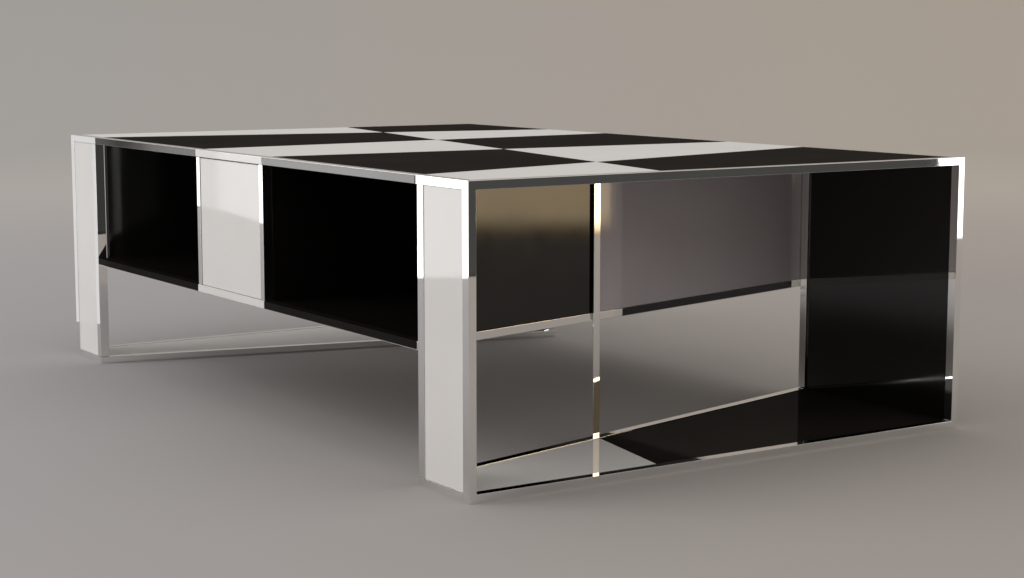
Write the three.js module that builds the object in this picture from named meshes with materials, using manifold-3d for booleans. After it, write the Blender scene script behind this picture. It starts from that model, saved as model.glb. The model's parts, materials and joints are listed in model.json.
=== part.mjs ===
// A low coffee table in a skewed checkerboard of white and black gloss panels.
//
// Seen from above, four slanting lines cut the table into five rows and one slanting line cuts
// it into two columns. The first and last rows are open-ended legs that stand on the floor. The
// three rows between them are a raised box: its white cells are drawers, which open when they
// are pressed in a little, and its black cells are open shelves. Bright bars frame it all.
//
// Millimetres, +Z up. The origin is on the floor under the middle of the table. +X points to the
// near end, -X to the far end, -Y to the left long side and +Y to the right long side.

import * as THREE from 'three';
import { mergeVertices } from 'three/addons/utils/BufferGeometryUtils.js';
import Module from 'manifold-3d';

const wasm = await Module();
wasm.setup();

// Overall size
const length = 1300;
const width = 820;
const height = 386;

// The plan: where each slanting line meets the table's edges
const rowLinesOnLeft = [118, 546, 771, 1186];    // from the near end, along the left side
const rowLinesOnRight = [323, 498, 836, 1006];   // from the near end, along the right side
const columnLineAtNearEnd = 291;                 // from the left side, along the near end
const columnLineAtFarEnd = 538;                  // from the left side, along the far end

// Stock the table is made from
const barFace = 11;         // steel bar, across its narrow face
const barDepth = 14;        // steel bar, across its wide face
const recess = 1;           // how far a panel's face sits behind the bars around it
const panel = barFace - recess;
const topGlass = 4;
const floorGlass = 8;
const centrePost = 12;      // the flat bar where the two columns meet, and how far it stands out
const centrePostDepth = 3;

// Heights
const boxUnderside = 170;
const boxTop = boxUnderside + barFace;
const rimUnderside = height - barFace;

// Clearances
const seam = 0.3;           // between parts that touch
const tileJoint = 1.2;      // open line between neighbouring tiles
const grooveAtFrame = 2;    // open line between a floor tile and the end frame
const frontGap = 1.5;       // around each drawer front
const press = 2.5;          // from a closed drawer to its catch

// Drawers
const trayWall = 8;
const trayBase = 6;
const trayHeight = 142;
const traySideGap = 4;      // to the boards beside the tray
const trayBackGap = 42;     // to the spine, room for the catch
const railWidth = 30;
const railHeight = 12;
const railWall = 2.5;
const railPlay = 1;         // between the rail and what runs on it
const guideWidth = 8;       // the two strips under a tray that run beside its rail
const catchSize = { x: 40, y: 24, z: 30 };
const plungerRadius = 5;
const plungerLength = 6;

const rows = ['near_end', 'near', 'middle', 'far', 'far_end'];

// The white cells of the raised box, which hold the drawers
const drawers = [
  { row: 1, side: 'right' },
  { row: 2, side: 'left' },
  { row: 3, side: 'right' },
];

const group = new THREE.Group();

// Finishes

function steel() {
  return new THREE.MeshStandardMaterial({ color: 0xd8d8da, roughness: 0.08, metalness: 1 });
}

function whiteGloss() {
  return new THREE.MeshStandardMaterial({ color: 0xe9e7e4, roughness: 0.12, metalness: 0 });
}

function blackGloss() {
  return new THREE.MeshStandardMaterial({ color: 0x0b0a0a, roughness: 0.08, metalness: 0 });
}

function paleBoard() {
  return new THREE.MeshStandardMaterial({ color: 0xcfccc6, roughness: 0.5, metalness: 0 });
}

function zincSteel() {
  return new THREE.MeshStandardMaterial({ color: 0xa9abae, roughness: 0.35, metalness: 1 });
}

function darkPlastic() {
  return new THREE.MeshStandardMaterial({ color: 0x2b2b2c, roughness: 0.5, metalness: 0 });
}

// The checkerboard's colour: left and right alternate, and so do the rows.
function checkerGloss(row, side) {
  const isWhite = (row % 2 === 0) === (side === 'left');
  return isWhite ? whiteGloss() : blackGloss();
}

function add(name, geometry, material) {
  const mesh = new THREE.Mesh(geometry, material);
  mesh.name = name;
  group.add(mesh);
}

// Plan lines. A line is a start point and an end point, and its positive side is on its left:
// the far side of a row line, which runs left to right, and the right side of a column line,
// which runs from the far end to the near end.

const sideY = { left: -width / 2, right: width / 2 };

function rowLine(index) {
  const fromNearOnLeft = [0, ...rowLinesOnLeft, length][index];
  const fromNearOnRight = [0, ...rowLinesOnRight, length][index];
  const start = new THREE.Vector2(length / 2 - fromNearOnLeft, sideY.left);
  const end = new THREE.Vector2(length / 2 - fromNearOnRight, sideY.right);
  return { start, end };
}

function sideLine(side) {
  const start = new THREE.Vector2(-length / 2, sideY[side]);
  const end = new THREE.Vector2(length / 2, sideY[side]);
  return { start, end };
}

function columnLine() {
  const start = new THREE.Vector2(-length / 2, sideY.left + columnLineAtFarEnd);
  const end = new THREE.Vector2(length / 2, sideY.left + columnLineAtNearEnd);
  return { start, end };
}

// The same line moved to its positive side by a distance, or to its other side if that is negative.
function shift(line, distance) {
  const along = line.end.clone().sub(line.start).normalize();
  const move = new THREE.Vector2(-along.y, along.x).multiplyScalar(distance);
  return { start: line.start.clone().add(move), end: line.end.clone().add(move) };
}

function crossing(lineA, lineB) {
  const a = lineA.end.clone().sub(lineA.start);
  const b = lineB.end.clone().sub(lineB.start);
  const between = lineB.start.clone().sub(lineA.start);
  return lineA.start.clone().addScaledVector(a, between.cross(b) / a.cross(b));
}

function xAt(line, y) {
  const share = (y - line.start.y) / (line.end.y - line.start.y);
  return line.start.x + share * (line.end.x - line.start.x);
}

// The four corners that two row lines and two column lines enclose.
function between(nearLine, farLine, leftLine, rightLine) {
  return [
    crossing(nearLine, leftLine),
    crossing(nearLine, rightLine),
    crossing(farLine, rightLine),
    crossing(farLine, leftLine),
  ];
}

// Solids

function prism(corners, bottom, top) {
  const shape = new THREE.Shape(corners);
  const geometry = new THREE.ExtrudeGeometry(shape, { depth: top - bottom, bevelEnabled: false });
  return geometry.translate(0, 0, bottom);
}

function block(low, high) {
  const size = high.map((value, axis) => value - low[axis]);
  const middle = high.map((value, axis) => (value + low[axis]) / 2);
  return new THREE.BoxGeometry(...size).translate(...middle);
}

function toSolid(geometry) {
  const bare = geometry.clone();
  bare.deleteAttribute('normal');
  bare.deleteAttribute('uv');
  const merged = mergeVertices(bare);
  const vertProperties = new Float32Array(merged.attributes.position.array);
  const triVerts = new Uint32Array(merged.index.array);
  return new wasm.Manifold(new wasm.Mesh({ numProp: 3, vertProperties, triVerts }));
}

function toGeometry(solid) {
  const mesh = solid.getMesh();
  const geometry = new THREE.BufferGeometry();
  geometry.setAttribute('position', new THREE.BufferAttribute(mesh.vertProperties, 3));
  geometry.setIndex(new THREE.BufferAttribute(mesh.triVerts, 1));
  const flat = geometry.toNonIndexed();
  flat.computeVertexNormals();
  return flat;
}

// Table top

function addTopTiles() {
  const half = tileJoint / 2;
  const toBar = barDepth + seam;
  rows.forEach((row, index) => {
    const near = shift(rowLine(index), index === 0 ? toBar : half);
    const far = shift(rowLine(index + 1), index === rows.length - 1 ? -toBar : -half);
    const leftEdges = [insideSide('left', toBar), shift(columnLine(), -half)];
    const rightEdges = [shift(columnLine(), half), insideSide('right', toBar)];
    const leftTile = prism(between(near, far, ...leftEdges), height - topGlass, height);
    const rightTile = prism(between(near, far, ...rightEdges), height - topGlass, height);
    add(`top_tile_${row}_left`, leftTile, checkerGloss(index, 'left'));
    add(`top_tile_${row}_right`, rightTile, checkerGloss(index, 'right'));
  });
}

function addTopBoard() {
  const x = length / 2 - barDepth - seam;
  const y = width / 2 - barDepth - seam;
  add('top_board', block([-x, -y, rimUnderside], [x, y, height - topGlass - seam]), blackGloss());
}

function addRim(side) {
  const x = length / 2 - barDepth - seam;
  const ys = [sideY[side], sideY[side] - Math.sign(sideY[side]) * barDepth];
  const low = [-x, Math.min(...ys), rimUnderside];
  const high = [x, Math.max(...ys), height];
  add(`rim_${side}`, block(low, high), steel());
}

// Legs. Each end of the table is described once: its outer edge, the slanting line that closes
// it, and which way is inwards, towards the niche, from that line.

const ends = {
  near: { row: 0, edge: rowLine(0), plane: rowLine(1), toNiche: -1 },
  far: { row: 4, edge: rowLine(5), plane: rowLine(4), toNiche: 1 },
};

// What lies between two lines parallel to an end's slanting line, given by their distances into
// the niche, or between that line and the end's outer edge.
function acrossEnd(end, lineA, lineB, leftLine, rightLine) {
  const nearFirst = end.toNiche < 0 ? [lineB, lineA] : [lineA, lineB];
  return between(...nearFirst, leftLine, rightLine);
}

function intoNiche(end, distance) {
  return shift(end.plane, end.toNiche * distance);
}

function insideEdge(end, distance) {
  return shift(end.edge, -end.toNiche * distance);
}

// A line beside one long side of the table, moved inwards.
function insideSide(side, distance) {
  return shift(sideLine(side), side === 'left' ? distance : -distance);
}

// Two lines beside a long side, in left-to-right order.
function sideBand(side, outer, inner) {
  const lines = [insideSide(side, outer), insideSide(side, inner)];
  return side === 'left' ? lines : lines.reverse();
}

function addEndFrame(name, end) {
  const outline = new THREE.Shape();
  outline.moveTo(sideY.left, 0);
  outline.lineTo(sideY.right, 0);
  outline.lineTo(sideY.right, height);
  outline.lineTo(sideY.left, height);
  const opening = new THREE.Path();
  opening.moveTo(sideY.left + barFace, barFace);
  opening.lineTo(sideY.left + barFace, rimUnderside);
  opening.lineTo(sideY.right - barFace, rimUnderside);
  opening.lineTo(sideY.right - barFace, barFace);
  outline.holes.push(opening);
  const geometry = new THREE.ExtrudeGeometry(outline, { depth: barDepth, bevelEnabled: false });
  const alongY = new THREE.Vector3(0, 1, 0);
  const alongZ = new THREE.Vector3(0, 0, 1);
  const alongX = new THREE.Vector3(1, 0, 0);
  geometry.applyMatrix4(new THREE.Matrix4().makeBasis(alongY, alongZ, alongX));
  const outerX = end.edge.start.x;
  geometry.translate(outerX > 0 ? outerX - barDepth : outerX, 0, 0);
  add(`${name}_end_frame`, geometry, steel());
}

// Three bars flat on the floor, open towards the end frame: a short one along each side and a
// long one on the slant.
function addBaseFrame(name, end) {
  const edge = insideEdge(end, barDepth + seam);
  const corners = [
    crossing(edge, sideLine('left')),
    crossing(end.plane, sideLine('left')),
    crossing(end.plane, sideLine('right')),
    crossing(edge, sideLine('right')),
    crossing(edge, insideSide('right', barDepth)),
    crossing(intoNiche(end, barDepth), insideSide('right', barDepth)),
    crossing(intoNiche(end, barDepth), insideSide('left', barDepth)),
    crossing(edge, insideSide('left', barDepth)),
  ];
  add(`${name}_base_frame`, prism(corners, 0, barFace), steel());
}

function addFloorTiles(name, end) {
  const edge = insideEdge(end, barDepth + grooveAtFrame);
  const back = intoNiche(end, barDepth + seam);
  const half = tileJoint / 2;
  const left = [insideSide('left', barDepth + seam), shift(columnLine(), -half)];
  const right = [shift(columnLine(), half), insideSide('right', barDepth + seam)];
  const top = barFace - recess;
  const leftTile = prism(acrossEnd(end, back, edge, ...left), top - floorGlass, top);
  const rightTile = prism(acrossEnd(end, back, edge, ...right), top - floorGlass, top);
  add(`${name}_left_floor_tile`, leftTile, checkerGloss(end.row, 'left'));
  add(`${name}_right_floor_tile`, rightTile, checkerGloss(end.row, 'right'));
}

function addLegSide(name, end, side) {
  const low = barFace + seam;
  const high = rimUnderside - seam;
  const postBand = sideBand(side, 0, barDepth);
  const post = acrossEnd(end, intoNiche(end, seam), intoNiche(end, barDepth), ...postBand);
  add(`${name}_${side}_post`, prism(post, low, high), steel());
  const panelBand = sideBand(side, recess, recess + panel);
  const back = intoNiche(end, barDepth + seam);
  const front = insideEdge(end, barDepth + seam);
  const sheet = acrossEnd(end, back, front, ...panelBand);
  add(`${name}_${side}_side_panel`, prism(sheet, low, high), checkerGloss(end.row, side));
}

function addCentrePost(name, end) {
  const back = intoNiche(end, seam);
  const front = intoNiche(end, seam + centrePostDepth);
  const left = shift(columnLine(), -centrePost / 2);
  const right = shift(columnLine(), centrePost / 2);
  const corners = acrossEnd(end, back, front, left, right);
  add(`${name}_centre_post`, prism(corners, barFace + seam, rimUnderside - seam), steel());
}

// Raised box

function addBoxFrame() {
  const [near, far] = [ends.near.plane, ends.far.plane];
  const outer = between(near, far, sideLine('left'), sideLine('right'));
  const nearInside = shift(near, barDepth);
  const farInside = shift(far, -barDepth);
  const [left, right] = [insideSide('left', barDepth), insideSide('right', barDepth)];
  const shape = new THREE.Shape(outer);
  shape.holes.push(new THREE.Path(between(nearInside, farInside, left, right)));
  const geometry = new THREE.ExtrudeGeometry(shape, { depth: barFace, bevelEnabled: false });
  add('box_frame', geometry.translate(0, 0, boxUnderside), steel());
  const inset = [shift(nearInside, seam), shift(farInside, -seam)];
  const sides = [shift(left, seam), shift(right, -seam)];
  const floor = prism(between(...inset, ...sides), boxUnderside + recess, boxTop);
  add('box_floor', floor, blackGloss());
}

// Upright boards. Each stands just inside a row line, on the side that toFar gives: 1 for the far
// side, -1 for the near side.
function boardOnRowLine(line, toFar, leftLine, rightLine) {
  const faces = [shift(line, toFar * recess), shift(line, toFar * (recess + panel))];
  const [nearFace, farFace] = toFar > 0 ? faces : faces.reverse();
  const corners = between(nearFace, farFace, leftLine, rightLine);
  return prism(corners, boxTop + seam, rimUnderside - seam);
}

// The box's end walls close the back of the niches.
function addEndWalls(name, end) {
  const half = tileJoint / 2;
  const inset = barDepth + seam;
  const leftLines = [insideSide('left', inset), shift(columnLine(), -half)];
  const rightLines = [shift(columnLine(), half), insideSide('right', inset)];
  const wallRow = end.row - end.toNiche;
  const leftWall = boardOnRowLine(end.plane, -end.toNiche, ...leftLines);
  const rightWall = boardOnRowLine(end.plane, -end.toNiche, ...rightLines);
  add(`${name}_left_end_wall`, leftWall, checkerGloss(wallRow, 'left'));
  add(`${name}_right_end_wall`, rightWall, checkerGloss(wallRow, 'right'));
}

function addSpine() {
  const near = shift(ends.near.plane, recess + panel + seam);
  const far = shift(ends.far.plane, -recess - panel - seam);
  const left = shift(columnLine(), -panel / 2);
  const right = shift(columnLine(), panel / 2);
  const corners = between(near, far, left, right);
  add('spine', prism(corners, boxTop + seam, rimUnderside - seam), blackGloss());
}

// Between a shelf and a drawer the board and the post in front of it stand on the drawer's side
// of the row line, so that the shelf keeps its full width.
function addPartition(name, line, side, toFar) {
  const spineFace = panel / 2 + seam;
  const leftLines = [insideSide('left', barDepth + seam), shift(columnLine(), -spineFace)];
  const rightLines = [shift(columnLine(), spineFace), insideSide('right', barDepth + seam)];
  const lines = side === 'left' ? leftLines : rightLines;
  add(`${name}_${side}_partition`, boardOnRowLine(line, toFar, ...lines), blackGloss());
  const faces = [line, shift(line, toFar * barFace)];
  const [nearFace, farFace] = toFar > 0 ? faces : faces.reverse();
  const corners = between(nearFace, farFace, ...sideBand(side, 0, barDepth));
  add(`${name}_${side}_box_post`, prism(corners, boxTop + seam, rimUnderside - seam), steel());
}

// Drawers. Fronts and trays are square-cut, so that they slide straight out of their skewed bays.

// How far a drawer's front stops from a row line: an end post stands outside the box, and a box
// post inside it.
function frontInset(lineIndex) {
  const isEndWall = lineIndex === 1 || lineIndex === rows.length - 1;
  return isEndWall ? frontGap : barFace + frontGap;
}

function drawerPlan({ row, side }) {
  const nearLine = rowLine(row);
  const farLine = rowLine(row + 1);
  const outward = Math.sign(sideY[side]);
  const frontYs = [sideY[side] - outward * recess, sideY[side] - outward * barFace];
  const nearEdge = shift(nearLine, frontInset(row));
  const farEdge = shift(farLine, -frontInset(row + 1));
  const front = {
    nearX: Math.min(...frontYs.map((y) => xAt(nearEdge, y))),
    farX: Math.max(...frontYs.map((y) => xAt(farEdge, y))),
    ys: frontYs,
  };
  // The tray is as wide as the bay's narrowest stretch between its front and its back.
  const nearSide = shift(nearLine, recess + panel + traySideGap);
  const farSide = shift(farLine, -recess - panel - traySideGap);
  const behind = shift(columnLine(), outward * (panel / 2 + trayBackGap));
  const backYs = [nearSide, farSide].map((line) => crossing(line, behind).y);
  const trayBackY = side === 'left' ? Math.min(...backYs) : Math.max(...backYs);
  const trayYs = [frontYs[1] - outward * seam, trayBackY];
  const tray = {
    nearX: Math.min(...trayYs.map((y) => xAt(nearSide, y))),
    farX: Math.max(...trayYs.map((y) => xAt(farSide, y))),
    ys: trayYs,
  };
  return { front, tray, outward };
}

function lowHigh(values) {
  return [Math.min(...values), Math.max(...values)];
}

function drawerFront(front) {
  const [lowY, highY] = lowHigh(front.ys);
  const low = [front.farX, lowY, boxTop + frontGap];
  const high = [front.nearX, highY, rimUnderside - frontGap];
  return block(low, high);
}

// An open-topped tray with two guide strips under its base, one each side of its rail.
function drawerTray(tray) {
  const [lowY, highY] = lowHigh(tray.ys);
  const baseZ = boxTop + railHeight + railPlay + seam;
  const topZ = baseZ + trayHeight;
  const middleX = (tray.nearX + tray.farX) / 2;
  const outside = toSolid(block([tray.farX, lowY, baseZ], [tray.nearX, highY, topZ]));
  const hollowLow = [tray.farX + trayWall, lowY + trayWall, baseZ + trayBase];
  const hollowHigh = [tray.nearX - trayWall, highY - trayWall, topZ + trayWall];
  let solid = outside.subtract(toSolid(block(hollowLow, hollowHigh)));
  for (const direction of [-1, 1]) {
    const innerX = middleX + direction * (railWidth / 2 + railPlay);
    const [lowX, highX] = lowHigh([innerX, innerX + direction * guideWidth]);
    const guideLow = [lowX, lowY, boxTop + railPlay + seam];
    const guideHigh = [highX, highY, baseZ + trayBase / 2];
    solid = solid.add(toSolid(block(guideLow, guideHigh)));
  }
  return toGeometry(solid);
}

// A fixed rail on the box floor: a channel that is open upwards.
function drawerRail(tray, outward) {
  const half = railWidth / 2;
  const section = new THREE.Shape();
  section.moveTo(-half, 0);
  section.lineTo(half, 0);
  section.lineTo(half, railHeight);
  section.lineTo(half - railWall, railHeight);
  section.lineTo(half - railWall, railWall);
  section.lineTo(-half + railWall, railWall);
  section.lineTo(-half + railWall, railHeight);
  section.lineTo(-half, railHeight);
  const [lowY, highY] = lowHigh([tray.ys[0] - outward * trayWall, tray.ys[1]]);
  const geometry = new THREE.ExtrudeGeometry(section, { depth: highY - lowY, bevelEnabled: false });
  geometry.rotateX(Math.PI / 2);
  return geometry.translate((tray.nearX + tray.farX) / 2, highY, boxTop + seam);
}

// The catch that pushes a drawer open, fixed behind it with its plunger towards the tray.
function drawerCatch(tray, outward) {
  const middleX = (tray.nearX + tray.farX) / 2;
  const plungerTipY = tray.ys[1] - outward * press;
  const bodyFrontY = plungerTipY - outward * plungerLength;
  const [lowY, highY] = lowHigh([bodyFrontY, bodyFrontY - outward * catchSize.y]);
  const lowZ = boxTop + seam;
  const low = [middleX - catchSize.x / 2, lowY, lowZ];
  const high = [middleX + catchSize.x / 2, highY, lowZ + catchSize.z];
  const plunger = new THREE.CylinderGeometry(plungerRadius, plungerRadius, 2 * plungerLength, 24);
  plunger.translate(middleX, bodyFrontY, lowZ + catchSize.z / 2);
  return toGeometry(toSolid(block(low, high)).add(toSolid(plunger)));
}

function addDrawer(drawer) {
  const { front, tray, outward } = drawerPlan(drawer);
  const name = `${rows[drawer.row]}_${drawer.side}_drawer`;
  add(`${name}_front`, drawerFront(front), checkerGloss(drawer.row, drawer.side));
  add(`${name}_tray`, drawerTray(tray), paleBoard());
  add(`${name}_rail`, drawerRail(tray, outward), zincSteel());
  add(`${name}_catch`, drawerCatch(tray, outward), darkPlastic());
}

// Assembly

addTopTiles();
addTopBoard();
addRim('left');
addRim('right');

for (const [name, end] of Object.entries(ends)) {
  addEndFrame(name, end);
  addBaseFrame(name, end);
  addFloorTiles(name, end);
  addLegSide(name, end, 'left');
  addLegSide(name, end, 'right');
  addCentrePost(name, end);
  addEndWalls(name, end);
}

addBoxFrame();
addSpine();
addPartition('near', rowLine(2), 'left', 1);
addPartition('far', rowLine(3), 'left', -1);
addPartition('near', rowLine(2), 'right', -1);
addPartition('far', rowLine(3), 'right', 1);
drawers.forEach(addDrawer);

export default group;
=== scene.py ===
import json
import math

import bmesh
import bpy
from mathutils import Matrix, Vector


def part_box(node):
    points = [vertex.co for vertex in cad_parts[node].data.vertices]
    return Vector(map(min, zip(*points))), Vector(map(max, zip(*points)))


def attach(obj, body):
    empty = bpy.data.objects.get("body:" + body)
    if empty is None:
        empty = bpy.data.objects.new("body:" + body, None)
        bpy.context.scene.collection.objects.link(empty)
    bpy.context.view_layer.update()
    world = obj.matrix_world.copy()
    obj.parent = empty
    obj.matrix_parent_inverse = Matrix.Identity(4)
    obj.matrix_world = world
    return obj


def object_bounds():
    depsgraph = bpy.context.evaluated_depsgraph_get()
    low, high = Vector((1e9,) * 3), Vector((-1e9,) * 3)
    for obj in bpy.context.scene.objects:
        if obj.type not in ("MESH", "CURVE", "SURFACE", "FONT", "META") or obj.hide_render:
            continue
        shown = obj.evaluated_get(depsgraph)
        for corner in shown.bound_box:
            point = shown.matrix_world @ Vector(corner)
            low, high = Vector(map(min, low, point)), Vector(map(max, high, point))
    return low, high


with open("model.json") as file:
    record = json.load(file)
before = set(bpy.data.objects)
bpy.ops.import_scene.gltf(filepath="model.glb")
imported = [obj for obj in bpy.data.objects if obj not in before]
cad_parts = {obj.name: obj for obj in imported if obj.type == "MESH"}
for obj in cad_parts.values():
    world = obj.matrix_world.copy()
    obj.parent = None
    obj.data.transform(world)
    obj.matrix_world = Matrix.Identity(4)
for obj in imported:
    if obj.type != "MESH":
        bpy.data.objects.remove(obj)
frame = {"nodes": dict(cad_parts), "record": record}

# The imported table's own box, in metres
CAD_LOW, CAD_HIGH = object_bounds()

# Each drawer's name, and the way along Y in which it opens
DRAWERS = {"near_right_drawer": 1, "middle_left_drawer": -1, "far_right_drawer": 1}

# All sizes are in metres
EDGE_ROUND = 0.0004          # radius of a bar's or a panel's edge
JOIN_REACH = 0.00001         # corners closer than this are one corner
SHARP_ANGLE = 30             # degrees from which an edge is rounded

STRIP_DEPTH = 0.0010         # thickness of the lacquered cover strips
STRIP_EDGE = 0.0002          # radius of a strip's edge
STRIP_INSET = 0.0004         # bare metal left round a strip
BASE_STRIP_INSET = 0.0011    # bare metal left under the box frame's strips
LEDGE_DEPTH = 0.0138         # strips on top of the box's frame, in front of its floor
LEDGE_THICKNESS = 0.0006
SILL_THICKNESS = 0.0010      # strips beside the floor tiles, over the base bars
SILL_PLAY = 0.00005          # from a sill strip to the panel and the tile beside it

TRAY_WALL = 0.008
RAIL_WALL = 0.0025
SCREW_RADIUS = 0.0035
SCREW_HEIGHT = 0.0014
FRONT_SCREW_COLUMNS = (0.25, 0.75)    # shares of the tray's width
FRONT_SCREW_ROWS = (0.35, 0.75)       # shares of the tray's height
RAIL_SCREWS = (0.12, 0.88)            # shares of the rail's length


# Node helpers

def new_material(name):
    """An empty node material: its nodes, its links and its shader."""
    material = bpy.data.materials.new(name)
    material.use_nodes = True
    tree = material.node_tree
    return material, tree.nodes, tree.links, tree.nodes["Principled BSDF"]


def noise(nodes, links, scale, detail=3.0):
    """A noise in the object's own coordinates, in metres, so that it moves with the part."""
    place = nodes.new("ShaderNodeTexCoord")
    texture = nodes.new("ShaderNodeTexNoise")
    texture.inputs["Scale"].default_value = scale
    texture.inputs["Detail"].default_value = detail
    links.new(place.outputs["Object"], texture.inputs["Vector"])
    return texture.outputs["Fac"]


def spread(nodes, links, source, start, end, low=0.0, high=1.0, eased=False):
    """Maps start..end of a value onto low..high, with soft ends if it is eased."""
    span = nodes.new("ShaderNodeMapRange")
    if eased:
        span.interpolation_type = "SMOOTHSTEP"
    span.inputs["From Min"].default_value = start
    span.inputs["From Max"].default_value = end
    span.inputs["To Min"].default_value = low
    span.inputs["To Max"].default_value = high
    links.new(source, span.inputs["Value"])
    return span.outputs["Result"]


def between(nodes, links, source, low, high):
    """Maps a noise's middle range onto low..high."""
    return spread(nodes, links, source, 0.3, 0.7, low, high)


def two_colours(nodes, links, source, first, second):
    """Blends two colours by a noise's middle range."""
    ramp = nodes.new("ShaderNodeValToRGB")
    ramp.color_ramp.elements[0].position = 0.35
    ramp.color_ramp.elements[1].position = 0.65
    ramp.color_ramp.elements[0].color = (*first, 1)
    ramp.color_ramp.elements[1].color = (*second, 1)
    links.new(source, ramp.inputs["Fac"])
    return ramp.outputs["Color"]


def mix_colours(nodes, links, share, first, second):
    """Mixes two linked colours by a linked share."""
    mix = nodes.new("ShaderNodeMix")
    mix.data_type = "RGBA"
    links.new(share, mix.inputs["Factor"])
    links.new(first, mix.inputs["A"])
    links.new(second, mix.inputs["B"])
    return mix.outputs["Result"]


def bump(nodes, links, height, strength, distance):
    """A bumped normal for the shader, from a height."""
    node = nodes.new("ShaderNodeBump")
    node.inputs["Strength"].default_value = strength
    node.inputs["Distance"].default_value = distance
    links.new(height, node.inputs["Height"])
    return node.outputs["Normal"]


RIPPLE_STRENGTH = 0.25


def dress(name, first, second, roughness, cloud, ripple, ripple_depth,
          metallic=0.0, mirror=None):
    """A finish with cloudy colour, uneven roughness and a rippled surface.

    first and second are its two colours, roughness its low and high roughness, and cloud and
    ripple the scales of the colour and of the surface. mirror is the share of light that a
    polished surface mirrors from every side; without it the shader's own gloss is used.
    """
    material, nodes, links, shader = new_material(name)
    clouds = noise(nodes, links, cloud)
    links.new(two_colours(nodes, links, clouds, first, second), shader.inputs["Base Color"])
    smears = between(nodes, links, noise(nodes, links, cloud * 3), *roughness)
    links.new(smears, shader.inputs["Roughness"])
    ripples = noise(nodes, links, ripple, detail=2.0)
    normal = bump(nodes, links, ripples, RIPPLE_STRENGTH, ripple_depth)
    links.new(normal, shader.inputs["Normal"])
    shader.inputs["Metallic"].default_value = metallic
    if mirror is None:
        return material
    shader.inputs["Specular IOR Level"].default_value = 0.0
    polish = nodes.new("ShaderNodeBsdfGlossy")
    polish.inputs["Color"].default_value = (1, 1, 1, 1)
    links.new(smears, polish.inputs["Roughness"])
    links.new(normal, polish.inputs["Normal"])
    mix = nodes.new("ShaderNodeMixShader")
    mix.inputs["Fac"].default_value = mirror
    links.new(shader.outputs["BSDF"], mix.inputs[1])
    links.new(polish.outputs["BSDF"], mix.inputs[2])
    links.new(mix.outputs["Shader"], nodes["Material Output"].inputs["Surface"])
    return material


# Finishes of the table

def chrome_bar():
    return dress("chrome_bar", (0.90, 0.90, 0.89), (0.94, 0.94, 0.93), (0.01, 0.035),
                 cloud=9, ripple=60, ripple_depth=0.00003, metallic=1.0)


def white_lacquer():
    return dress("white_lacquer", (0.766, 0.752, 0.742), (0.796, 0.781, 0.771), (0.025, 0.05),
                 cloud=7, ripple=120, ripple_depth=0.00003, mirror=0.07)


# A darker, violet-tinted copy of the white lacquer: painted shade for the legs' white back walls
def painted_shade_white():
    return dress("painted_shade_white", (0.53, 0.50, 0.54), (0.56, 0.53, 0.565), (0.025, 0.05),
                 cloud=7, ripple=120, ripple_depth=0.00003, mirror=0.06)


def white_glass():
    return dress("white_glass", (0.66, 0.648, 0.636), (0.68, 0.668, 0.655), (0.03, 0.06),
                 cloud=6, ripple=30, ripple_depth=0.00001, mirror=0.045)


WARM_BLACK = (1.0, 0.86, 0.76)        # a black's red, green and blue against its red
CLOUDED_BLACK = 1.3                   # how much lighter its clouds are


def black_gloss(name, body, roughness, ripple_depth, mirror):
    """A warm black whose darkest red is body."""
    deep = [share * body for share in WARM_BLACK]
    light = [share * (CLOUDED_BLACK * body) for share in WARM_BLACK]
    return dress(name, deep, light, roughness,
                 cloud=6, ripple=60, ripple_depth=ripple_depth, mirror=mirror)


def pale_board():
    return dress("pale_board", (0.60, 0.58, 0.54), (0.66, 0.64, 0.60), (0.40, 0.55),
                 cloud=14, ripple=700, ripple_depth=0.00008)


def zinc_steel():
    return dress("zinc_steel", (0.38, 0.39, 0.41), (0.50, 0.51, 0.53), (0.28, 0.42),
                 cloud=60, ripple=300, ripple_depth=0.00004, metallic=1.0)


def dark_plastic():
    return dress("dark_plastic", (0.020, 0.020, 0.021), (0.030, 0.030, 0.031), (0.42, 0.55),
                 cloud=40, ripple=1500, ripple_depth=0.00004)


FINISH = {
    "bright_bar": chrome_bar(),
    "white_lacquer": white_lacquer(),
    "white_glass": white_glass(),
    "black_lacquer": black_gloss("black_lacquer", 0.005, (0.05, 0.09), 0.00002, 0.05),
    "black_glass": black_gloss("black_glass", 0.014, (0.03, 0.06), 0.00001, 0.02),
    "pale_board": pale_board(),
    "zinc_rail": zinc_steel(),
    "dark_plastic": dark_plastic(),
}


# The legs' white back walls get a darker, violet-tinted copy of the white lacquer: painted shade
# for the dim light inside the legs
SHADED_WALLS = ("near_right_end_wall", "far_right_end_wall")
WALL_PAINTED_SHADE = painted_shade_white()

# The rims' black strips are a lighter, more mirroring copy of the black lacquer, a painted
# highlight, and the low strips a less mirroring copy, a painted shade
STRIP_FINISH_AND_PAINTED_LIGHT = {
    "rim": {"white_lacquer": FINISH["white_lacquer"],
            "black_lacquer": black_gloss("black_rim_painted_highlight", 0.012, (0.05, 0.09), 0.00002, 0.11)},
    "low": {"white_lacquer": FINISH["white_lacquer"],
            "black_lacquer": black_gloss("black_sill_painted_shade", 0.008, (0.05, 0.09), 0.00002, 0.02)},
}


def slot_of_node():
    """Each CAD node's material slot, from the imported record."""
    return {part["node"]: part["material_slot"] for part in frame["record"]["subparts"]}


def soften_edges(piece, radius):
    """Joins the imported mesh's split corners and rounds its edges."""
    weld = piece.modifiers.new("join", "WELD")
    weld.merge_threshold = JOIN_REACH
    bevel = piece.modifiers.new("edges", "BEVEL")
    bevel.width = radius
    bevel.segments = 2
    bevel.limit_method = "ANGLE"
    bevel.angle_limit = math.radians(SHARP_ANGLE)
    bevel.harden_normals = True


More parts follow.
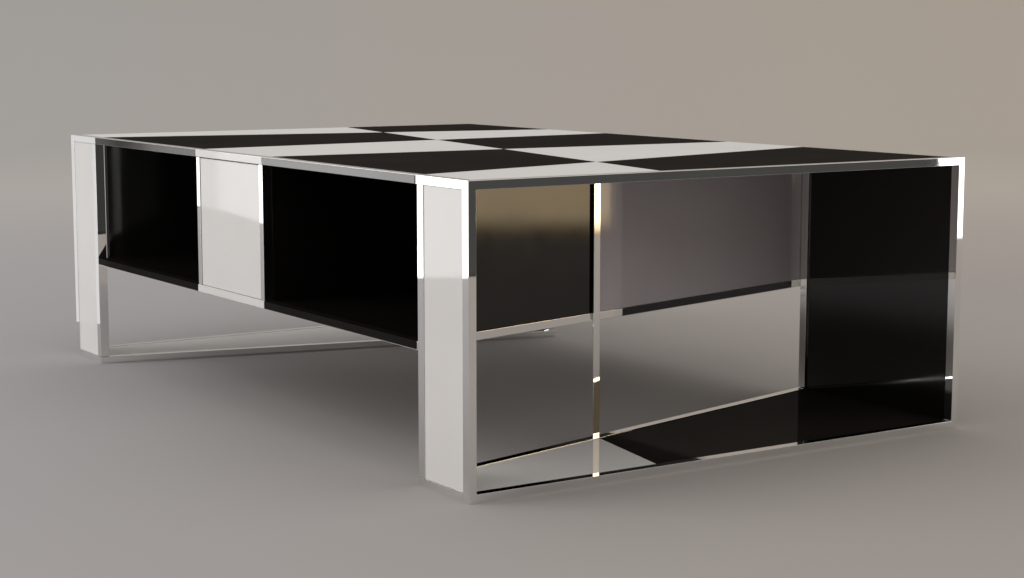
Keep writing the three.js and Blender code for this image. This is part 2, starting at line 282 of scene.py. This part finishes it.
def dress_nodes():
    """Gives each CAD node the finish of its slot, but the legs' white back walls the painted-shade
    white.
    """
    for name, slot in slot_of_node().items():
        node = frame["nodes"][name]
        node.data.materials.clear()
        # The legs' back walls take the painted-shade white instead of their slot's lacquer
        node.data.materials.append(WALL_PAINTED_SHADE if name in SHADED_WALLS else FINISH[slot])
        soften_edges(node, EDGE_ROUND)


def add_mesh(name, mesh, material):
    """Makes a built mesh into an object of one material."""
    data = bpy.data.meshes.new(name)
    mesh.to_mesh(data)
    mesh.free()
    piece = bpy.data.objects.new(name, data)
    bpy.context.scene.collection.objects.link(piece)
    piece.data.materials.append(material)
    return piece


# Cover strips: thin lacquered strips on the outer faces of the rims and of the box's frame, each
# in the colour of the cell that it borders

def strip(name, low, high, slot, place="low"):
    """A thin flat strip between two corners, with its edges rounded."""
    mesh = bmesh.new()
    bmesh.ops.create_cube(mesh, size=1)
    low, high = Vector(low), Vector(high)
    size = Matrix.Diagonal((*(high - low), 1))
    bmesh.ops.transform(mesh, matrix=Matrix.Translation((low + high) / 2) @ size, verts=mesh.verts)
    bmesh.ops.bevel(mesh, geom=mesh.edges[:], offset=STRIP_EDGE, segments=2, affect="EDGES")
    piece = add_mesh(name, mesh, STRIP_FINISH_AND_PAINTED_LIGHT[place][slot])
    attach(piece, "table")


def box_cells(side):
    """Where each cell of the raised box starts and ends along a long side, far to near."""
    near_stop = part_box(f"near_{side}_post")[0].x
    far_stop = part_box(f"far_{side}_post")[1].x
    near_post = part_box(f"near_{side}_box_post")
    far_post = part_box(f"far_{side}_box_post")
    if side == "left":
        return {"far": (far_stop, far_post[0].x), "middle": (far_post[0].x, near_post[1].x),
                "near": (near_post[1].x, near_stop)}
    return {"far": (far_stop, far_post[1].x), "middle": (far_post[1].x, near_post[0].x),
            "near": (near_post[0].x, near_stop)}


def ledge_span(row, side, far, near):
    """Where a cell's ledge is free of the posts that stand on the box's frame."""
    gap = 2 * STRIP_INSET
    post = {place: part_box(f"{place}_{side}_box_post") for place in ("near", "far")}
    if row == "middle":
        return post["far"][1].x + gap, post["near"][0].x - gap
    if row == "near":
        return post["near"][1].x + gap, near - gap
    return far + gap, post["far"][0].x - gap


def add_strips(side, outward):
    """Each cell's strips on one long side: on the rim, on the box's frame and on its ledge."""
    face = CAD_HIGH.y if outward > 0 else CAD_LOW.y
    ys = sorted((face, face + outward * STRIP_DEPTH))
    rim_low, rim_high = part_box(f"rim_{side}")
    base_low, base_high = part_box("box_frame")
    ledge_top = base_high.z + LEDGE_THICKNESS
    ledge_ys = sorted((face, face - outward * LEDGE_DEPTH))
    for row, (far, near) in box_cells(side).items():
        is_white = (row == "middle") == (side == "left")
        slot = "white_lacquer" if is_white else "black_lacquer"
        far_stop, near_stop = far + STRIP_INSET, near - STRIP_INSET
        strip(f"{row}_{side}_rim_strip", (far_stop, ys[0], rim_low.z + STRIP_INSET),
              (near_stop, ys[1], rim_high.z - STRIP_INSET), slot, "rim")
        strip(f"{row}_{side}_base_strip", (far_stop, ys[0], base_low.z + BASE_STRIP_INSET),
              (near_stop, ys[1], ledge_top), slot)
        far_end, near_end = ledge_span(row, side, far, near)
        strip(f"{row}_{side}_ledge_strip", (far_end, ledge_ys[0], base_high.z),
              (near_end, ledge_ys[1], ledge_top), slot)


def add_sills(side):
    """Strips that cover the base bars' tops between a leg's side panel and its floor tile."""
    slot = "white_lacquer" if side == "left" else "black_lacquer"
    for end in ("near", "far"):
        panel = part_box(f"{end}_{side}_side_panel")
        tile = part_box(f"{end}_{side}_floor_tile")
        frame_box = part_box(f"{end}_end_frame")
        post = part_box(f"{end}_{side}_post")
        xs = (post[1].x, frame_box[0].x) if end == "near" else (frame_box[1].x, post[0].x)
        ys = (panel[1].y, tile[0].y) if side == "left" else (tile[1].y, panel[0].y)
        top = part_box(f"{end}_base_frame")[1].z
        strip(f"{end}_{side}_sill_strip", (xs[0] + STRIP_INSET, ys[0] + SILL_PLAY, tile[1].z),
              (xs[1] - STRIP_INSET, ys[1] - SILL_PLAY, top + SILL_THICKNESS), slot)


# Screws that show when a drawer is open

# The head's rings, as shares of its radius and of its height, from the rim inwards
SCREW_RINGS = ((1.0, 0.0), (0.92, 0.55), (0.62, 0.9), (0.42, 1.0), (0.18, 1.0))
SCREW_STEPS = 32
RECESS_ARM = SCREW_STEPS // 4         # steps from one arm of the cross to the next
RECESS_REACH = 0.5                    # share of the radius that the cross reaches
RECESS_DEPTH = 0.6                    # share of the height that the cross is sunk


def ring_points(radius, steps):
    """The points of a circle, one for each step of a turn."""
    turns = [2 * math.pi * step / steps for step in range(steps)]
    return [(radius * math.cos(turn), radius * math.sin(turn)) for turn in turns]


def screw(name, centre, outward, body):
    """A small domed screw head with a cross recess, its axis along outward."""
    mesh = bmesh.new()
    made = []
    for share, rise in SCREW_RINGS:
        ring = []
        for step, (x, y) in enumerate(ring_points(SCREW_RADIUS * share, SCREW_STEPS)):
            from_arm = min(step % RECESS_ARM, RECESS_ARM - step % RECESS_ARM)
            in_recess = share < RECESS_REACH and from_arm <= 1
            height = rise - RECESS_DEPTH if in_recess else rise
            ring.append(mesh.verts.new((x, y, SCREW_HEIGHT * height)))
        made.append(ring)
    middle = mesh.verts.new((0, 0, SCREW_HEIGHT * (1 - RECESS_DEPTH)))
    for outer, inner in zip(made, made[1:]):
        for step in range(SCREW_STEPS):
            after = (step + 1) % SCREW_STEPS
            mesh.faces.new((outer[step], outer[after], inner[after], inner[step]))
    for step in range(SCREW_STEPS):
        mesh.faces.new((made[-1][step], made[-1][(step + 1) % SCREW_STEPS], middle))
    mesh.faces.new(reversed(made[0]))
    turn = Vector(outward).to_track_quat("Z", "Y").to_matrix().to_4x4()
    bmesh.ops.transform(mesh, matrix=Matrix.Translation(centre) @ turn, verts=mesh.verts)
    piece = add_mesh(name, mesh, FINISH["zinc_rail"])
    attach(piece, body)


def add_screws(drawer, outward):
    """Four screws that hold a drawer's front to its tray, and two that hold its rail down."""
    low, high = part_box(f"{drawer}_tray")
    wall_face = (high.y if outward > 0 else low.y) - outward * TRAY_WALL
    for column in FRONT_SCREW_COLUMNS:
        for row in FRONT_SCREW_ROWS:
            centre = (low.x + column * (high.x - low.x), wall_face,
                      low.z + row * (high.z - low.z))
            screw(f"{drawer}_front_screw_{column * 100:.0f}_{row * 100:.0f}", centre,
                  (0, -outward, 0), drawer)
    rail_low, rail_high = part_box(f"{drawer}_rail")
    for share in RAIL_SCREWS:
        centre = ((rail_low.x + rail_high.x) / 2,
                  rail_low.y + share * (rail_high.y - rail_low.y),
                  rail_low.z + RAIL_WALL)
        screw(f"{drawer}_rail_screw_{share * 100:.0f}", centre, (0, 0, 1), "table")


# Stage: a floor that curves up into a backdrop all round

FLOOR_RADIUS = 7.0
SWEEP_RADIUS = 4.5
SWEEP_STEPS = 24
ROUND_STEPS = 96
FLOOR_RINGS = (0.8, 2.0, 4.0, FLOOR_RADIUS)
WARM_LIGHT_WARD = (0.55, 0.84, 0)           # the way towards the warm light, along which the floor and the backdrop are painted warmer
WARMING_FLOOR = (-1.0, 0.8)           # along it, from cool to warm floor
WARMING_WALL = (-3.0, 3.0)            # along it, from cool to warm backdrop
PAINTED_LIGHT_OUTWARDS = (1.2, 4.8)            # out from the middle, from the floor's colour to the backdrop's lighter colour, which is painted light


def stage_material():
    """Soft grey with painted light: painted warmer on one side for the warm light there, and
    painted lighter further out for the brighter light on the backdrop.
    """
    material, nodes, links, shader = new_material("studio_floor")
    clouds = noise(nodes, links, 0.6, detail=1.0)
    # The warm colours are painted warm light on one side of the floor
    cool = two_colours(nodes, links, clouds, (0.382, 0.371, 0.380), (0.392, 0.381, 0.390))
    warm = two_colours(nodes, links, clouds, (0.398, 0.368, 0.346), (0.408, 0.378, 0.356))
    place = nodes.new("ShaderNodeTexCoord")
    reach = nodes.new("ShaderNodeVectorMath")
    reach.operation = "LENGTH"
    links.new(place.outputs["Object"], reach.inputs[0])
    outwards = spread(nodes, links, reach.outputs["Value"], *PAINTED_LIGHT_OUTWARDS, eased=True)
    across = nodes.new("ShaderNodeVectorMath")
    across.operation = "DOT_PRODUCT"
    across.inputs[1].default_value = WARM_LIGHT_WARD
    links.new(place.outputs["Object"], across.inputs[0])
    wall_side = spread(nodes, links, across.outputs["Value"], *WARMING_WALL)
    floor_side = spread(nodes, links, across.outputs["Value"], *WARMING_FLOOR, eased=True)
    floor = mix_colours(nodes, links, floor_side, cool, warm)
    # Painted light: the backdrop's colours are lighter than the floor's and turn tan towards the
    # warm light
    wall = nodes.new("ShaderNodeMix")
    wall.data_type = "RGBA"
    wall.inputs["A"].default_value = (0.51, 0.50, 0.49, 1)
    wall.inputs["B"].default_value = (0.535, 0.485, 0.43, 1)
    links.new(wall_side, wall.inputs["Factor"])
    sweep = mix_colours(nodes, links, outwards, floor, wall.outputs["Result"])
    links.new(sweep, shader.inputs["Base Color"])
    grain = noise(nodes, links, 260, detail=2.0)
    links.new(between(nodes, links, grain, 0.55, 0.7), shader.inputs["Roughness"])
    links.new(bump(nodes, links, grain, 0.1, 0.0002), shader.inputs["Normal"])
    shader.inputs["Specular IOR Level"].default_value = 0.0
    return material


def add_stage():
    """The floor and the backdrop, as one surface turned round the middle of the table."""
    profile = [(radius, 0.0) for radius in FLOOR_RINGS]
    for step in range(1, SWEEP_STEPS + 1):
        angle = math.pi / 2 * step / SWEEP_STEPS
        profile.append((FLOOR_RADIUS + SWEEP_RADIUS * math.sin(angle),
                        SWEEP_RADIUS * (1 - math.cos(angle))))
    mesh = bmesh.new()
    middle = mesh.verts.new((0, 0, 0))
    rings = []
    for radius, z in profile:
        rings.append([mesh.verts.new((x, y, z)) for x, y in ring_points(radius, ROUND_STEPS)])
    for step in range(ROUND_STEPS):
        mesh.faces.new((middle, rings[0][step], rings[0][(step + 1) % ROUND_STEPS]))
    for inner, outer in zip(rings, rings[1:]):
        for step in range(ROUND_STEPS):
            after = (step + 1) % ROUND_STEPS
            mesh.faces.new((inner[step], outer[step], outer[after], inner[after]))
    for face in mesh.faces:
        face.smooth = True
    studio = add_mesh("studio", mesh, stage_material())


# Cards: upright panels on the floor that only the gloss surfaces see

FOOT_SHARE = 0.1                      # of a card's brightness, at the floor


def card(name, start, end, top, colour, strength, fade=0.01):
    """An upright card between two floor points, dark at the floor and full bright above fade."""
    material, nodes, links, shader = new_material(name)
    shader.inputs["Base Color"].default_value = (0, 0, 0, 1)
    shader.inputs["Specular IOR Level"].default_value = 0.0
    shader.inputs["Emission Color"].default_value = (*colour, 1)
    place = nodes.new("ShaderNodeTexCoord")
    split = nodes.new("ShaderNodeSeparateXYZ")
    links.new(place.outputs["Object"], split.inputs["Vector"])
    glow = spread(nodes, links, split.outputs["Z"], 0, fade, FOOT_SHARE * strength, strength,
                  eased=True)
    links.new(glow, shader.inputs["Emission Strength"])
    corners = [(*start, 0), (*end, 0), (*end, top), (*start, top)]
    data = bpy.data.meshes.new(name)
    data.from_pydata(corners, [], [(0, 1, 2, 3)])
    data.materials.append(material)
    panel = bpy.data.objects.new(name, data)
    bpy.context.scene.collection.objects.link(panel)
    panel.visible_camera = False
    panel.visible_diffuse = False
    panel.visible_shadow = False


def add_cards():
    """Cards seen in the left side, in the legs' sides and in the near leg's inside."""
    white, warm, tan = (1.0, 0.99, 0.98), (1.0, 0.98, 0.93), (1.0, 0.75, 0.46)
    card("left_near_card", (-1.136, -1.578), (-1.272, -1.370), 1.6, white, 2.8)
    card("left_bright_card", (-1.617, -1.564), (-3.1, -1.8), 1.6, white, 3.0)
    card("left_fading_card", (-3.1, -1.8), (-3.7, -1.8), 1.6, white, 1.7)
    card("left_far_card", (-3.5, -1.6), (-5.0, -1.4), 1.6, white, 0.7)
    card("far_leg_card", (-1.12, -0.50), (-0.95, -0.585), 1.2, white, 0.74, fade=0.0001)
    card("shelf_post_dark_card", (1.68, -0.62), (1.68, -0.30), 1.2, warm, 0.04)
    card("end_dark_card", (2.5, 0.4), (2.5, 2.28), 1.2, warm, 0.06)
    card("end_bright_card", (2.55, 2.25), (2.32, 2.5), 1.2, warm, 2.5)
    card("end_tan_card", (2.12, 2.16), (1.63, 2.43), 1.2, tan, 3.9, fade=0.07)


# Lights and camera

def area_light(name, place, target, size, power, colour):
    """A soft rectangular light that neither the camera nor the gloss sees."""
    data = bpy.data.lights.new(name, "AREA")
    data.shape = "RECTANGLE"
    data.size, data.size_y = size
    data.energy = power
    data.color = colour
    light = bpy.data.objects.new(name, data)
    light.location = place
    aim = Vector(target) - Vector(place)
    light.rotation_euler = aim.to_track_quat("-Z", "Y").to_euler()
    bpy.context.scene.collection.objects.link(light)
    light.visible_camera = False
    light.visible_glossy = False


def add_lights():
    """A pale surrounding light, a key from the left, and two weak fills."""
    world = bpy.data.worlds.new("studio_air")
    world.use_nodes = True
    sky = world.node_tree.nodes["Background"]
    sky.inputs["Color"].default_value = (1.0, 0.97, 0.94, 1)
    sky.inputs["Strength"].default_value = 0.80
    bpy.context.scene.world = world
    area_light("key", (-1.5, -3.8, 3.4), (0, 0, 0.2), (3.0, 2.4), 50, (1.0, 0.99, 0.97))
    area_light("under_fill", (0, 0, 0.16), (0, 0, 0), (0.8, 0.5), 0.14, (1.0, 0.95, 0.9))
    area_light("low_fill", (-1.5, -4.6, 1.0), (0, 0, 0.1), (3.2, 1.4), 40, (1.0, 0.99, 0.98))


CAMERA_PLACE = (2.5089, -1.5712, 0.5479)
CAMERA_HEADING = 146.676     # degrees from +X towards +Y
CAMERA_TILT = -7.507         # degrees from the horizontal
CAMERA_LENS = 66.3
SENSOR = 36.0
VIEW_END = 60


def add_camera():
    """A long-lens camera, low at the near left."""
    data = bpy.data.cameras.new("camera")
    data.lens = CAMERA_LENS
    data.sensor_width = SENSOR
    data.sensor_fit = "HORIZONTAL"
    data.clip_end = VIEW_END
    camera = bpy.data.objects.new("camera", data)
    camera.location = CAMERA_PLACE
    tilt, heading = math.radians(CAMERA_TILT), math.radians(CAMERA_HEADING)
    camera.rotation_euler = (math.pi / 2 + tilt, 0, heading - math.pi / 2)
    bpy.context.scene.collection.objects.link(camera)
    bpy.context.scene.camera = camera


dress_nodes()
add_strips("left", -1)
add_strips("right", 1)
add_sills("left")
add_sills("right")
for drawer, outward in DRAWERS.items():
    add_screws(drawer, outward)
add_stage()
add_cards()
add_lights()
add_camera()

bpy.context.scene.view_settings.view_transform = "Standard"
bpy.context.scene.view_settings.look = "None"
